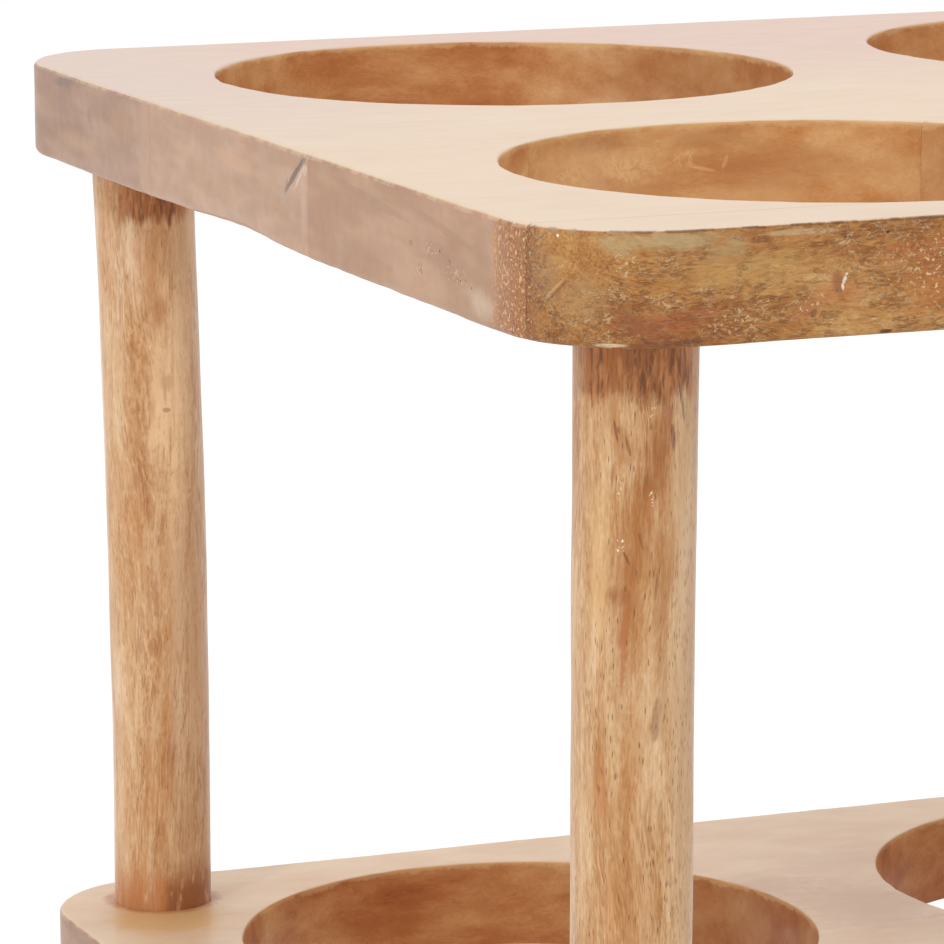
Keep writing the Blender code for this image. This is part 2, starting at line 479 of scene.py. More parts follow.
class Wood(Graph):
    """Lacquered hardwood, built up layer by layer. All lengths are in millimetres."""

    def __init__(self, name, grain_axis, seed):
        super().__init__(bpy.data.materials.new(name))
        place = self.node("ShaderNodeTexCoord")
        self.mm = self.scaled(place.outputs["Object"], 1 / MM)
        self.x, self.y, self.z = self.split(self.mm)
        normal = self.split(place.outputs["Normal"])
        self.up = normal[2]
        self.eastward = normal[0]
        self.endward = self.math("ABSOLUTE", normal[0])
        grain = self.mm if grain_axis == "X" else self.join(self.z, self.x, self.y)
        grain = self.vector("ADD", grain, (seed * 37.0, seed * 11.0, seed * -7.0))
        drift = self.noise(self.scaled(grain, 0.03, 0.12, 0.12), detail=2, colour=True)
        drift = self.vector("SUBTRACT", drift, (0.5, 0.5, 0.5))
        self.grain = self.vector("ADD", grain, self.scaled(drift, 8.0, 4.0, 4.0))
        ragged = self.noise(self.scaled(self.mm, 0.7), detail=6, roughness=0.7)
        self.ragged = self.minus(ragged, 0.5)
        self.colour = None
        self.relief = 0.0

    def figure(self, tones, swirl, fibre, streak, cloud=1.0):
        """The wood's own colour: clouds, streaks, short swirls and fine fibres."""
        clouds = self.noise(self.scaled(self.grain, 0.07, 0.22, 0.22), detail=3, roughness=0.55)
        streaks = self.noise(self.scaled(self.grain, 0.09, 1.0, 1.0), detail=3, roughness=0.6)
        swirls = self.noise(self.scaled(self.grain, 0.9, 2.4, 2.4), detail=4, roughness=0.65,
                            distortion=1.6)
        fibres = self.noise(self.scaled(self.grain, 1.3, 9.0, 9.0), detail=2, roughness=0.6)
        tone = 0.5
        for layer, share in ((clouds, cloud), (streaks, streak), (swirls, swirl), (fibres, fibre)):
            tone = self.plus(tone, self.times(self.minus(layer, 0.5), share))
        last = len(tones) - 1
        self.colour = self.ramp(tone, [(0.22 + 0.56 * i / last, c) for i, c in enumerate(tones)])
        self.relief = self.plus(self.times(fibres, 0.5), self.times(swirls, 0.5))

    def tint(self, mask, colour, amount):
        """Mix a colour in where the mask says; a plain one is given as 0 to 255 on screen."""
        if isinstance(colour, tuple):
            colour = rgb(*colour)
        self.colour = self.mix(self.times(mask, amount), self.colour, colour)

    def rough(self, length, amount):
        """A length made uneven, so that what it bounds has a ragged edge."""
        return self.plus(length, self.times(self.ragged, amount))

    def patches(self, size, share, stretch=1.0, soft=0.08):
        """Soft patches of a size, over roughly a share of the surface."""
        space = self.scaled(self.grain, 1 / (size * stretch), 1 / size, 1 / size)
        middle = 0.5 + 0.35 * (0.5 - share)
        return self.span(self.noise(space, detail=3, roughness=0.6), middle - soft, middle + soft)

    def dashes(self, along, across, size, share, shift=0.0):
        """Short strokes along the grain, in a share of the cells, gathered in drifts."""
        space = self.scaled(self.grain, 1 / along, 1 / across, 1 / across)
        space = self.vector("ADD", space, (shift, 2.3 * shift, 1.1 * shift))
        distance, pick = self.cells(space)
        crowd = self.noise(self.scaled(self.grain, 0.12, 0.35, 0.35), detail=1)
        limit = self.span(crowd, 0.35, 0.65, 1.0 - 0.3 * share, 1.0 - 1.7 * share, smooth=False)
        picked = self.math("GREATER_THAN", pick, limit)
        return self.times(self.span(distance, size, 0.4 * size), picked)

    def wisps(self, along, across, width, shift=0.0):
        """Thin wavy lines along the grain: the level lines of a stretched noise."""
        space = self.scaled(self.grain, 1 / along, 1 / across, 1 / across)
        space = self.vector("ADD", space, (shift, shift, shift))
        waves = self.noise(space, detail=3, roughness=0.6, distortion=0.7)
        level = self.math("ABSOLUTE", self.minus(waves, 0.5))
        return self.span(level, width, 0.25 * width)

    def engrave(self, mask, depth):
        """Let a mask's marks stand in the relief, up for a positive depth and down for a negative."""
        self.relief = self.plus(self.relief, self.times(mask, depth))

    def speckle(self, scale, threshold, shift=0.0):
        """Fine grains all over, the bright peaks of a close noise."""
        space = self.vector("ADD", self.scaled(self.mm, scale), (shift, shift, shift))
        return self.span(self.noise(space, detail=2, roughness=0.6), threshold, threshold + 0.10)

    def spot(self, place, mark):
        """A ragged oval round a mark's centre, in the plane (across, z) that place gives."""
        a = self.minus(place[0], mark.across)
        b = self.minus(place[1], mark.z)
        cos, sin = math.cos(math.radians(mark.turn)), math.sin(math.radians(mark.turn))
        along = self.plus(self.times(a, cos / mark.reach), self.times(b, sin / mark.reach))
        side = self.minus(self.times(b, cos / mark.height), self.times(a, sin / mark.height))
        distance = self.vector("LENGTH", self.join(along, side, 0.0))
        distance = self.rough(distance, RAGGED)
        core = 0.25 if mark.height > BROAD else 0.65
        return self.span(distance, 1.05, core)

    def marks(self, place, marks, mask=1.0):
        """Lay marks on, where the mask lets them show."""
        for mark in marks:
            self.tint(self.times(self.spot(place, mark), mask), mark.colour, mark.amount)

    def blot(self, x, y, outside, inside, ragged):
        """A ragged round blot about (x, y), nothing outside one radius and full inside the other."""
        place = self.join(self.minus(self.x, x), self.minus(self.y, y), 0.0)
        distance = self.rough(self.vector("LENGTH", place), ragged)
        return self.span(distance, outside, inside)

    def girth(self, corner_x, corner_y, radius):
        """Length round the near left corner and along the front, 0 where the two meet."""
        run = self.math("MAXIMUM", self.minus(self.x, corner_x), 0.0)
        beside = self.math("MAXIMUM", self.minus(corner_x, self.x), 0.0)
        before = self.math("MAXIMUM", self.minus(corner_y, self.y), 0.01)
        turn = self.times(self.math("ARCTAN2", beside, before), radius)
        return self.minus(run, turn)

    def around(self, centre, radius, facing):
        """Length round a post, anticlockwise seen from above, from where it faces that angle."""
        east = self.minus(self.x, centre[0])
        north = self.minus(self.y, centre[1])
        cos, sin = math.cos(math.radians(facing)), math.sin(math.radians(facing))
        ahead = self.plus(self.times(east, cos), self.times(north, sin))
        aside = self.minus(self.times(north, cos), self.times(east, sin))
        return self.times(self.math("ARCTAN2", aside, ahead), radius)

    def finish(self, roughness, coat, relief=0.05, sheen=0.0):
        """The shader: a lacquer coat over the wood, with its relief in millimetres."""
        shader = self.node("ShaderNodeBsdfPrincipled")
        self.feed(shader.inputs["Base Color"], self.colour)
        gloss = self.noise(self.scaled(self.grain, 0.3, 0.9, 0.9), detail=3)
        low, high = roughness
        self.feed(shader.inputs["Roughness"], self.span(gloss, 0.25, 0.75, low, high, smooth=False))
        shader.inputs["IOR"].default_value = 1.5
        shader.inputs["Specular IOR Level"].default_value = 0.35
        shader.inputs["Sheen Weight"].default_value = sheen
        shader.inputs["Sheen Roughness"].default_value = 0.35
        shader.inputs["Sheen Tint"].default_value = (1.0, 0.95, 0.9, 1.0)
        shader.inputs["Coat Weight"].default_value = coat
        shader.inputs["Coat Roughness"].default_value = 0.16
        shader.inputs["Coat IOR"].default_value = 1.5
        waves = self.noise(self.scaled(self.mm, 0.22), detail=2)
        fine = self.bump(self.relief, relief * MM, 0.8)
        self.feed(shader.inputs["Normal"], self.bump(waves, WAVE_HEIGHT, 0.35, fine))
        self.feed(shader.inputs["Coat Normal"], self.bump(waves, WAVE_HEIGHT, 0.3))
        out = self.node("ShaderNodeOutputMaterial")
        self.tree.links.new(shader.outputs[0], out.inputs["Surface"])
        return self.material


# The middle colours of the boards and of their cut ends, front to back, and of the posts
BOARD = {
    "upper": {"front": (168, 114, 52), "second": (196, 141, 86), "third": (198, 142, 84),
              "back": (190, 132, 78)},
    "lower": {"front": (168, 108, 54), "second": (180, 118, 64), "third": (178, 116, 62),
              "back": (182, 119, 64)},
}
BOARD_END = {"front": (176, 124, 78), "second": (169, 130, 102), "third": (178, 142, 117),
             "back": (155, 121, 101)}
POST_MIDDLE = {"front_left": (198, 155, 108), "front_right": (200, 155, 106),
               "back_left": (206, 163, 118), "back_right": (196, 151, 105)}
# Tones laid over the wood
PORE = (102, 54, 18)
SHADE = (130, 72, 28)
FLECK = (226, 190, 142)
# Top-face tones, partly sanded wood and partly a painted sheen of grazing reflection
SANDED_AND_SHEEN = (214, 190, 163)
SANDED_AND_SHEEN_BACK = (205, 174, 156)
SANDED_AND_SHEEN_FAR = (203, 180, 165)
SMUDGE = (198, 158, 122)
# Painted reflection of the far left post on the lower tier's top face
POST_REFLECTION_GOLD = (200, 156, 98)
RUSTY = (172, 98, 36)
# Pale tone on the ends' arrises, partly wear and partly painted highlight
WORN_AND_HIGHLIGHT = (230, 206, 170)
DIRT = (106, 64, 34)
CRUST = (214, 176, 124)
SCRAPE = (222, 176, 120)
# Darker tone on the hole walls facing left: grain cut across the board, and painted shade that tones down
# the lamp's light on them
ACROSS_GRAIN_AND_SHADE = {"upper": (142, 90, 50), "lower": (128, 72, 32)}
CORNER_BROWN = (150, 90, 42)
CORNER_PALE = (232, 184, 130)
CORNER_DARK = (112, 62, 34)
# Paler wood on the posts' right side, partly painted light that evens out the shade the lamp leaves there
PALE_AND_LIT_SIDE = (206, 174, 138)
DARK_STREAK = (158, 96, 46)
PALE_STREAK = (228, 192, 146)
# Stain and painted shadow of the upper tier on the posts: its tone, its darker runs and its paler lifted
# spots
STAIN_AND_SHADOW = (168, 96, 34)
DARK_STAIN_AND_SHADOW = (100, 54, 20)
LIFTED_STAIN = (206, 142, 84)
FOOT_STAIN = (186, 112, 58)
DARK_FOOT_STAIN = (126, 68, 30)

# Marks on the upper tier's front stave, placed by the length round the corner and the height
FRONT_MARKS = (
    Mark(-8.9, 82.7, 1.6, 2.4, 0, (158, 116, 80), 0.45),
    Mark(-6.4, 81.5, 2.0, 2.0, 0, (188, 146, 92), 0.50),
    Mark(3.2, 83.2, 6.0, 1.2, 4, (186, 142, 78), 0.45),
    Mark(-1.2, 80.5, 3.6, 0.85, 8, (160, 86, 42), 0.60),
    Mark(6.8, 80.7, 2.6, 0.9, 25, (172, 100, 54), 0.45),
    Mark(9.0, 81.6, 1.8, 1.4, 0, (176, 102, 50), 0.45),
    Mark(13.6, 83.6, 3.4, 1.0, 0, (170, 94, 38), 0.55),
    Mark(16.5, 82.0, 5.5, 2.8, 0, (172, 94, 32), 0.50),
    Mark(24.0, 81.8, 5.0, 1.6, 6, (168, 96, 46), 0.45),
    Mark(35.0, 83.4, 7.0, 1.0, -3, (190, 146, 84), 0.45),
    Mark(-3.6, 80.3, 2.0, 0.8, -20, (134, 76, 40), 0.45),
    # A scratch at the corner: two dark lines and a pale line of painted highlight beside them
    Mark(-8.20, 81.90, 1.3, 0.08, 43, (110, 74, 46), 0.60),
    Mark(-9.40, 80.85, 0.9, 0.07, 52, (110, 74, 46), 0.45),
    Mark(-8.35, 82.05, 1.3, 0.07, 43, (204, 164, 112), 0.55),
    Mark(-1.5, 84.90, 4.6, 0.75, 0, (188, 172, 126), 0.55),
    Mark(-4.3, 84.55, 1.1, 0.75, 0, (182, 164, 118), 0.45),
    Mark(2.0, 84.3, 1.8, 0.8, 10, (184, 160, 108), 0.45),
    Mark(6.3, 85.0, 2.6, 0.20, 0, (200, 176, 138), 0.45),
    Mark(8.60, 82.1, 0.5, 0.75, 0, (132, 76, 38), 0.60),
    Mark(8.98, 82.2, 0.30, 0.12, 70, (236, 220, 202), 0.90),
    Mark(8.86, 81.8, 0.22, 0.10, 95, (236, 220, 202), 0.80),
    Mark(9.10, 82.5, 0.12, 0.09, 40, (236, 220, 202), 0.80),
    Mark(11.6, 84.7, 0.13, 0.11, 0, (40, 24, 16), 0.95),
    Mark(-8.1, 85.05, 0.10, 0.09, 0, (250, 240, 230), 0.85),
    Mark(11.6, 79.10, 0.45, 0.16, 0, (66, 40, 24), 0.85),
    Mark(-4.9, 79.12, 1.1, 0.14, 0, (218, 196, 156), 0.75),
    Mark(-1.5, 79.2, 3.0, 0.22, 2, (100, 56, 30), 0.50),
    Mark(18.0, 79.2, 5.0, 0.22, 0, (110, 64, 34), 0.50),
    Mark(7.1, 80.4, 0.30, 0.22, 60, (96, 60, 34), 0.60),
)
# Patches where pale flecks crowd
FLECK_PATCHES = (
    Mark(15.8, 82.2, 6.0, 2.8, -10, FLECK, 0.90),
    Mark(2.6, 80.25, 2.8, 0.8, 12, FLECK, 0.90),
    Mark(6.5, 80.8, 1.8, 0.8, 20, FLECK, 0.80),
    Mark(-4.0, 83.6, 1.2, 0.9, 0, FLECK, 0.60),
)
# Marks on the walls of the near left egg hole, placed by x and the height
HOLE_MARKS = (
    Mark(-50.3, 82.5, 0.9, 0.12, -12, SCRAPE, 0.60),
    Mark(-48.8, 82.9, 0.5, 0.14, 70, SCRAPE, 0.55),
    Mark(-65.3, 83.1, 0.9, 0.25, 62, SCRAPE, 0.55),
    Mark(-58.0, 84.6, 3.5, 0.75, 0, (150, 92, 44), 0.50),
    Mark(-50.0, 84.4, 4.0, 0.75, 4, (164, 104, 52), 0.45),
    Mark(-46.0, 80.9, 4.0, 1.1, 0, (196, 142, 86), 0.45),
    Mark(-45.0, 82.6, 8.0, 2.2, 0, (172, 112, 60), 0.45),
    Mark(-60.5, 82.6, 8.0, 2.8, 0, (220, 172, 122), 0.60),
    Mark(-62.0, 81.0, 3.0, 0.8, -10, (168, 104, 50), 0.50),
    Mark(-54.0, 81.2, 2.4, 0.8, 0, (180, 114, 56), 0.45),
    Mark(-66.0, 82.6, 1.6, 1.4, 0, (206, 150, 90), 0.45),
)
# Where that wall is scratched all over
SCRATCHED = (
    Mark(-60.5, 82.7, 2.2, 1.3, 0, SCRAPE, 0.60),
    Mark(-55.8, 82.8, 3.0, 1.2, 0, SCRAPE, 0.60),
    Mark(-51.5, 83.2, 1.2, 0.9, 0, SCRAPE, 0.50),
)
# Marks on the upper tier's left end, placed by y and the height
SECOND_STAVE_MARKS = (
    Mark(-39.4, 80.2, 2.2, 1.2, 10, (208, 184, 158), 0.50),
    Mark(-33.1, 82.4, 0.16, 0.13, 0, (104, 64, 44), 0.85),
    Mark(-34.6, 82.0, 0.20, 0.10, 30, (120, 78, 54), 0.75),
    Mark(-36.2, 81.1, 0.14, 0.12, 0, (110, 70, 48), 0.80),
    Mark(-37.9, 80.9, 0.12, 0.10, 0, (112, 72, 50), 0.75),
    Mark(-28.5, 82.3, 0.30, 0.20, 0, (150, 100, 70), 0.60),
    Mark(-22.0, 84.0, 7.5, 0.32, 5, (160, 122, 92), 0.65),
    Mark(-34.0, 83.7, 5.5, 0.30, 8, (160, 120, 88), 0.60),
    Mark(-18.0, 82.6, 4.0, 0.40, 4, (164, 124, 94), 0.50),
    Mark(-24.0, 81.2, 6.0, 0.8, 0, (168, 126, 100), 0.40),
)
THIRD_STAVE_MARKS = (
    # A crack across the end: dark lines along it and pale lines of painted highlight beside them, then
    # softer tone patches
    Mark(-9.0, 84.05, 2.2, 0.24, -36, (94, 72, 64), 0.80),
    Mark(-10.5, 84.9, 0.9, 0.18, -50, (126, 98, 84), 0.65),
    Mark(-7.2, 82.9, 0.7, 0.16, -62, (124, 96, 82), 0.55),
    Mark(-9.8, 84.0, 1.2, 0.18, -44, (220, 196, 178), 0.50),
    Mark(-10.7, 84.4, 0.5, 0.30, -30, (218, 194, 176), 0.45),
    Mark(-6.6, 82.3, 0.7, 0.5, 0, (170, 146, 130), 0.50),
    Mark(-10.4, 82.6, 0.9, 2.6, 0, (198, 170, 150), 0.35),
    Mark(6.0, 81.2, 4.0, 0.9, 0, (178, 136, 106), 0.45),
    Mark(2.0, 83.4, 5.0, 0.6, 5, (196, 152, 116), 0.45),
)
BACK_STAVE_MARKS = (
    Mark(37.3, 84.85, 2.6, 0.40, -4, (118, 92, 80), 0.60),
    Mark(30.0, 84.2, 6.0, 0.7, 0, (158, 118, 96), 0.45),
    Mark(24.5, 83.4, 3.5, 1.2, 0, (176, 134, 96), 0.50),
    Mark(34.5, 81.0, 6.0, 0.9, 0, (190, 150, 108), 0.45),
    Mark(31.6, 83.1, 0.6, 0.4, 60, (128, 96, 76), 0.45),
    Mark(41.0, 82.8, 2.0, 0.6, 0, (160, 124, 92), 0.45),
)
# Where the end of the second stave is pitted, placed the same way
PITTED = (
    Mark(-31.8, 82.4, 1.5, 0.75, 0, (120, 78, 54), 0.60),
    Mark(-35.4, 81.3, 2.4, 0.75, 0, (120, 78, 54), 0.60),
    Mark(-30.1, 80.8, 1.0, 0.75, 0, (120, 78, 54), 0.55),
)
# Smudges on the lower tier's top face, placed by x and y
LOWER_TOP_MARKS = (
    Mark(-29.0, 31.0, 5.5, 5.0, 0, (184, 150, 128), 0.55),
    Mark(-24.0, 24.0, 7.5, 9.0, 0, (186, 152, 130), 0.55),
    Mark(-21.0, 36.0, 7.0, 4.5, 20, (198, 164, 140), 0.50),
)
END_MARKS = {"second_stave_left_end": SECOND_STAVE_MARKS, "third_stave": THIRD_STAVE_MARKS,
             "back_stave": BACK_STAVE_MARKS}
# Marks on the near post and on the far left post, placed by the length round it and the height
NEAR_POST_MARKS = (
    Mark(1.0, 72.4, 4.0, 1.1, 78, (150, 84, 22), 0.75),
    Mark(0.3, 68.0, 4.6, 0.9, 83, (158, 92, 26), 0.70),
    Mark(-0.3, 62.8, 4.2, 0.8, 88, (162, 94, 28), 0.65),
    Mark(1.9, 66.0, 4.0, 0.8, 86, (170, 108, 48), 0.55),
    Mark(-1.0, 73.4, 3.0, 0.8, -76, (166, 106, 48), 0.60),
    Mark(2.6, 76.0, 2.3, 0.16, -81, (104, 60, 34), 0.80),
    Mark(2.1, 73.2, 0.9, 0.22, -84, (116, 64, 44), 0.60),
    Mark(-2.2, 66.0, 7.0, 0.8, 89, (222, 180, 124), 0.45),
    Mark(-0.8, 63.6, 9.0, 0.75, 88, (158, 94, 40), 0.60),
    Mark(1.4, 63.0, 9.0, 0.75, 91, (162, 108, 60), 0.50),
    Mark(-2.0, 53.0, 2.8, 0.30, 90, (186, 118, 66), 0.60),
    Mark(-0.2, 55.0, 6.0, 0.8, 89, (180, 124, 70), 0.45),
    Mark(-1.6, 44.0, 5.0, 0.35, 88, (198, 140, 88), 0.55),
    Mark(1.1, 57.0, 1.6, 0.30, 84, (140, 96, 58), 0.55),
    Mark(0.7, 44.0, 6.0, 0.8, 90, (184, 130, 80), 0.45),
    Mark(1.6, 74.6, 0.5, 0.4, 0, (176, 108, 88), 0.40),
    Mark(-0.6, 66.4, 0.55, 0.08, -65, (112, 66, 36), 0.80),
    Mark(-0.75, 61.5, 3.6, 0.16, 88, (176, 102, 48), 0.55),
    Mark(-1.2, 73.6, 0.7, 0.10, -80, (116, 66, 30), 0.75),
    Mark(-0.5, 72.7, 0.6, 0.10, -78, (116, 66, 30), 0.75),
    Mark(0.4, 70.4, 1.3, 0.12, 80, (124, 76, 42), 0.60),
    Mark(1.1, 64.6, 0.9, 0.11, 86, (118, 70, 40), 0.60),
    Mark(-1.4, 71.0, 0.9, 0.10, 86, (118, 70, 40), 0.55),
    Mark(-1.0, 64.2, 0.9, 0.8, 0, (150, 86, 38), 0.65),
    Mark(0.2, 67.3, 0.55, 0.09, -75, (104, 58, 26), 0.80),
)
# Tiny painted glints of specular highlight on the near post
GLINTS = (
    Mark(0.8, 69.7, 0.55, 0.22, 90, (250, 234, 208), 0.95),
    Mark(-0.95, 67.1, 0.60, 0.30, 90, (250, 234, 208), 0.95),
    Mark(0.9, 74.8, 0.80, 0.20, 75, (238, 212, 172), 0.80),
    Mark(-1.0, 70.5, 0.90, 0.20, 88, (236, 206, 162), 0.70),
)
FAR_POST_MARKS = (
    # The first mark is painted light: it brightens the far post's right half where the lamp leaves it
    # shaded
    Mark(1.8, 60.5, 11.0, 2.6, 90, (240, 204, 160), 0.85),
    Mark(0.9, 68.0, 1.6, 0.8, 88, (176, 116, 66), 0.60),
    Mark(0.2, 72.5, 4.0, 1.6, 88, (186, 128, 76), 0.60),
    Mark(0.5, 62.5, 4.5, 0.30, 84, (226, 188, 140), 0.65),
    Mark(1.6, 61.0, 0.45, 0.22, 0, (184, 118, 78), 0.70),
    Mark(1.6, 63.0, 0.8, 0.75, 0, (180, 138, 96), 0.55),
    Mark(-1.5, 56.0, 0.9, 0.75, 70, (172, 122, 80), 0.60),
    Mark(1.2, 50.0, 3.0, 0.9, 88, (190, 136, 84), 0.50),
    Mark(2.0, 36.0, 4.6, 0.8, 88, (168, 100, 56), 0.60),
    Mark(0.8, 30.2, 1.4, 0.75, 86, (168, 100, 52), 0.60),
    Mark(-1.6, 44.0, 0.8, 0.75, 88, (176, 132, 92), 0.50),
)
POST_MARKS = {"front_left": NEAR_POST_MARKS, "back_left": FAR_POST_MARKS}

# Pairs of places, in x, in y or along the girth, between which something fades in
ENDS = (73.0, 74.5)                   # a panel's two ends, either way from its middle
LEFT_END = (-74.0, -76.0)             # the marks on the left end
CORNER_X = (-74.0, -77.0)             # the speckled grain at the near left corner
CORNER_Y = (-40.5, -42.5)
CORNER_RUN = (-9.2, -10.4)
CORNER_GRAIN_END = (-42.4, -40.6)     # the end's own tone, behind that grain
BACK_SEAM = (23.0, 19.5)              # the third stave's tone on the back stave's end
HOLE_X = (-74.0, -73.5)               # the marks on the near left hole's walls
HOLE_Y = (-5.0, -5.5)
TOP_BACK_Y = (0.0, 34.0)              # the redder back of the upper tier's top face
FAR_CORNER_X = (-58.0, -76.0)         # that face's redder far left corner
FAR_CORNER_Y = (-20.0, 20.0)
# The middle and the radius of the rounded near left corner
NEAR_CORNER = (-70.8, -42.8, 8.2)
# The upper tier's staves that the near left egg hole cuts, apart from the front one
ROUND_NEAR_HOLE = ("third_stave", "second_stave_left_end", "second_stave_left_web")
# Blots on the lower tier's top face: the middle, where they end, where they are full, how ragged. The
# golden one is a painted reflection of the far left post; the rusty one lies round that post's foot.
POST_REFLECTION_BLOT = (-71.5, 39.5, 6.0, 2.5, 4.0)
RUSTY_BLOT = (-70.1, 44.7, 4.5, 3.6, 1.6)
# The direction in degrees, anticlockwise from +X, from the posts to the camera
TOWARDS_CAMERA = -112.0
# How high the stain and the painted shadow under the upper tier begin
STAIN_AND_SHADOW_Z = {"back_left": 74.0, "others": 75.0}


class StaveWood(Wood):
    """The wood of one stave, with masks for its sides, its top face and the panel's two ends."""

    def __init__(self, tier, name, seed):
        super().__init__(f"{tier}_{name}_wood", "X", seed)
        self.tier = tier
        self.name = name
        self.board = name.split("_")[0]
        self.outer = self.board == "front"
        self.top_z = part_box(f"{tier}_{name}")[1].z / MM
        self.sideways = self.span(self.up, 0.85, 0.6)
        self.on_top = self.span(self.up, 0.55, 0.85)
        self.outermost = self.span(self.math("ABSOLUTE", self.x), *ENDS)
        self.end = self.times(self.span(self.endward, 0.25, 0.55), self.outermost)
        self.front_run = self.girth(*NEAR_CORNER)

    def rough_front(self):
        """Dark and pale wisps that stand in the front stave's rough face, and its pores."""
        rough = self.patches(2.6, 0.6)
        dark = self.times(self.wisps(1.3, 0.40, 0.075), self.patches(0.5, 0.5, 2.0), rough)
        self.tint(dark, SHADE, 0.50)
        pale = self.times(self.wisps(0.9, 0.34, 0.06, shift=5.3), self.patches(0.6, 0.4, 2.0), rough)
        self.tint(pale, FLECK, 0.50)
        self.engrave(dark, -1.2)
        self.engrave(pale, 0.8)
        self.tint(self.dashes(0.7, 0.16, 0.32, 0.16), PORE, 0.6)

    def end_tone(self):
        """The greyer, cloudy tone of a board's cut ends."""
        mottle = self.noise(self.scaled(self.mm, 0.5, 0.11, 0.5), detail=3)
        deeper, paler = (rgb(*(c + step for c in BOARD_END[self.board])) for step in (-9, 9))
        tone = self.mix(self.span(mottle, 0.35, 0.65), deeper, paler)
        if self.board == "back":
            third_tone = self.span(self.rough(self.y, 6.0), *BACK_SEAM)
            tone = self.mix(third_tone, tone, rgb(*BOARD_END["third"]))
        behind_corner = self.span(self.rough(self.y, 4.0), *CORNER_GRAIN_END)
        right_half = self.span(self.x, 0.0, 10.0)
        clear = self.math("MAXIMUM", behind_corner, right_half)
        self.tint(self.times(self.end, clear), tone, 0.85)

    def speckled_corner(self):
        """The speckled brown grain between the near left corner and the end face."""
        corner = self.times(self.span(self.x, *CORNER_X), self.span(self.y, *CORNER_Y),
                            self.span(self.front_run, *CORNER_RUN))
        self.tint(corner, CORNER_BROWN, 0.80)
        self.tint(self.times(corner, self.speckle(4.2, 0.54)), CORNER_PALE, 0.70)
        self.tint(self.times(corner, self.speckle(5.0, 0.54, 4.4)), CORNER_DARK, 0.70)
        self.engrave(self.times(corner, self.speckle(4.2, 0.53)), 1.0)

    def front_marks(self):
        place = (self.front_run, self.z)
        self.marks(place, FRONT_MARKS)
        for patch in FLECK_PATCHES:
            flecks = self.times(self.speckle(3.7, 0.55, 2.2), self.spot(place, patch))
            self.tint(flecks, FLECK, patch.amount)
            self.engrave(flecks, 0.8)

    def end_marks(self):
        place = (self.y, self.z)
        on_left_end = self.span(self.x, *LEFT_END)
        self.marks(place, END_MARKS.get(self.name, ()), on_left_end)
        if self.name == "second_stave_left_end":
            for patch in PITTED:
                spot = self.times(self.spot(place, patch), on_left_end)
                self.tint(self.times(spot, self.speckle(4.0, 0.54, 1.3)), patch.colour, patch.amount)
                self.tint(self.times(spot, self.speckle(4.0, 0.56, 7.9)), FLECK, 0.60)

    def hole_marks(self):
        """Stains, scrapes and scratches on the walls of the near left egg hole."""
        place = (self.x, self.z)
        on_wall = self.times(self.sideways, self.span(self.y, *HOLE_Y), self.span(self.x, *HOLE_X))
        self.marks(place, HOLE_MARKS, on_wall)
        self.marks(place, SCRATCHED, self.times(on_wall, self.wisps(0.8, 0.8, 0.08, shift=6.1)))

    def hole_walls(self):
        """A deeper tone on the walls that face left, partly the grain cut across and partly painted shade
        that tones down the lamp's light on them, and a pale crust by the rims.
        """
        inside = self.minus(1.0, self.outermost)
        across_grain_and_shade = self.times(self.span(self.eastward, -0.45, -0.95), inside)
        self.tint(self.times(across_grain_and_shade, self.sideways), ACROSS_GRAIN_AND_SHADE[self.tier], 0.45)
        if not self.outer:
            crusty = self.span(self.rough(self.z, 1.4), self.top_z - 0.5, self.top_z - 0.2)
            self.tint(self.times(crusty, self.minus(1.0, self.end)), CRUST, 0.45)

    def tint_top(self, mask, colour, amount):
        self.tint(self.times(self.on_top, mask), colour, amount)

    def sanded_and_sheen_top(self):
        """The pale top face, partly sanded wood and partly a painted sheen of grazing reflection,
        smudged, and redder towards its back and its far left corner.
        """
        # Pale sanded wood with a painted sheen of grazing reflection
        self.tint(self.on_top, SANDED_AND_SHEEN, 0.97)
        self.tint_top(self.patches(4.0, 0.4, 1.8, soft=0.2), SMUDGE, 0.20)
        if self.tier == "upper":
            self.tint_top(self.span(self.y, *TOP_BACK_Y), SANDED_AND_SHEEN_BACK, 0.95)
            far_corner = self.times(self.span(self.x, *FAR_CORNER_X), self.span(self.y, *FAR_CORNER_Y))
            self.tint_top(far_corner, SANDED_AND_SHEEN_FAR, 0.70)
        else:
            self.tint_top(self.patches(5.0, 0.40, 1.6, soft=0.2), SMUDGE, 0.45)
            # A painted reflection of the far left post, in front of its foot
            self.tint_top(self.blot(*POST_REFLECTION_BLOT), POST_REFLECTION_GOLD, 0.75)
            self.marks((self.x, self.y), LOWER_TOP_MARKS, self.on_top)
            self.tint_top(self.blot(*RUSTY_BLOT), RUSTY, 0.65)

    # Dirt along the front stave's top arris, and a pale tone along the ends' arrises that is partly wear
    # and partly painted highlight
    def worn_and_highlit_arrises(self):
        arris = self.times(self.span(self.up, 0.10, 0.35), self.span(self.up, 0.98, 0.80))
        patchy = self.span(self.ragged, -0.06, 0.06)
        if self.outer:
            self.tint(self.times(arris, patchy), DIRT, 0.65)
        # Pale tone along the ends' arrises, partly wear and partly painted highlight
        self.tint(self.times(arris, self.end, patchy), WORN_AND_HIGHLIGHT, 0.25)


def stave_wood(tier, name, seed):
    wood = StaveWood(tier, name, seed)
    tones = shades(*BOARD[tier][wood.board])
    if wood.outer:
        wood.figure(tones, swirl=0.6, fibre=0.45, streak=0.25)
        wood.rough_front()
    else:
        wood.figure(tones, swirl=0.25, fibre=0.12, streak=0.25)
        wood.end_tone()
    if wood.board in ("front", "second"):
        wood.speckled_corner()
    if tier == "upper":
        if wood.outer:
            wood.front_marks()
        wood.end_marks()
        if name in ROUND_NEAR_HOLE:
            wood.hole_marks()
    wood.hole_walls()
    wood.sanded_and_sheen_top()
    wood.worn_and_highlit_arrises()
    wood.relief = wood.times(wood.relief, wood.sideways)
    return wood.finish((0.38, 0.52), 0.18, relief=0.08 if wood.outer else 0.02)


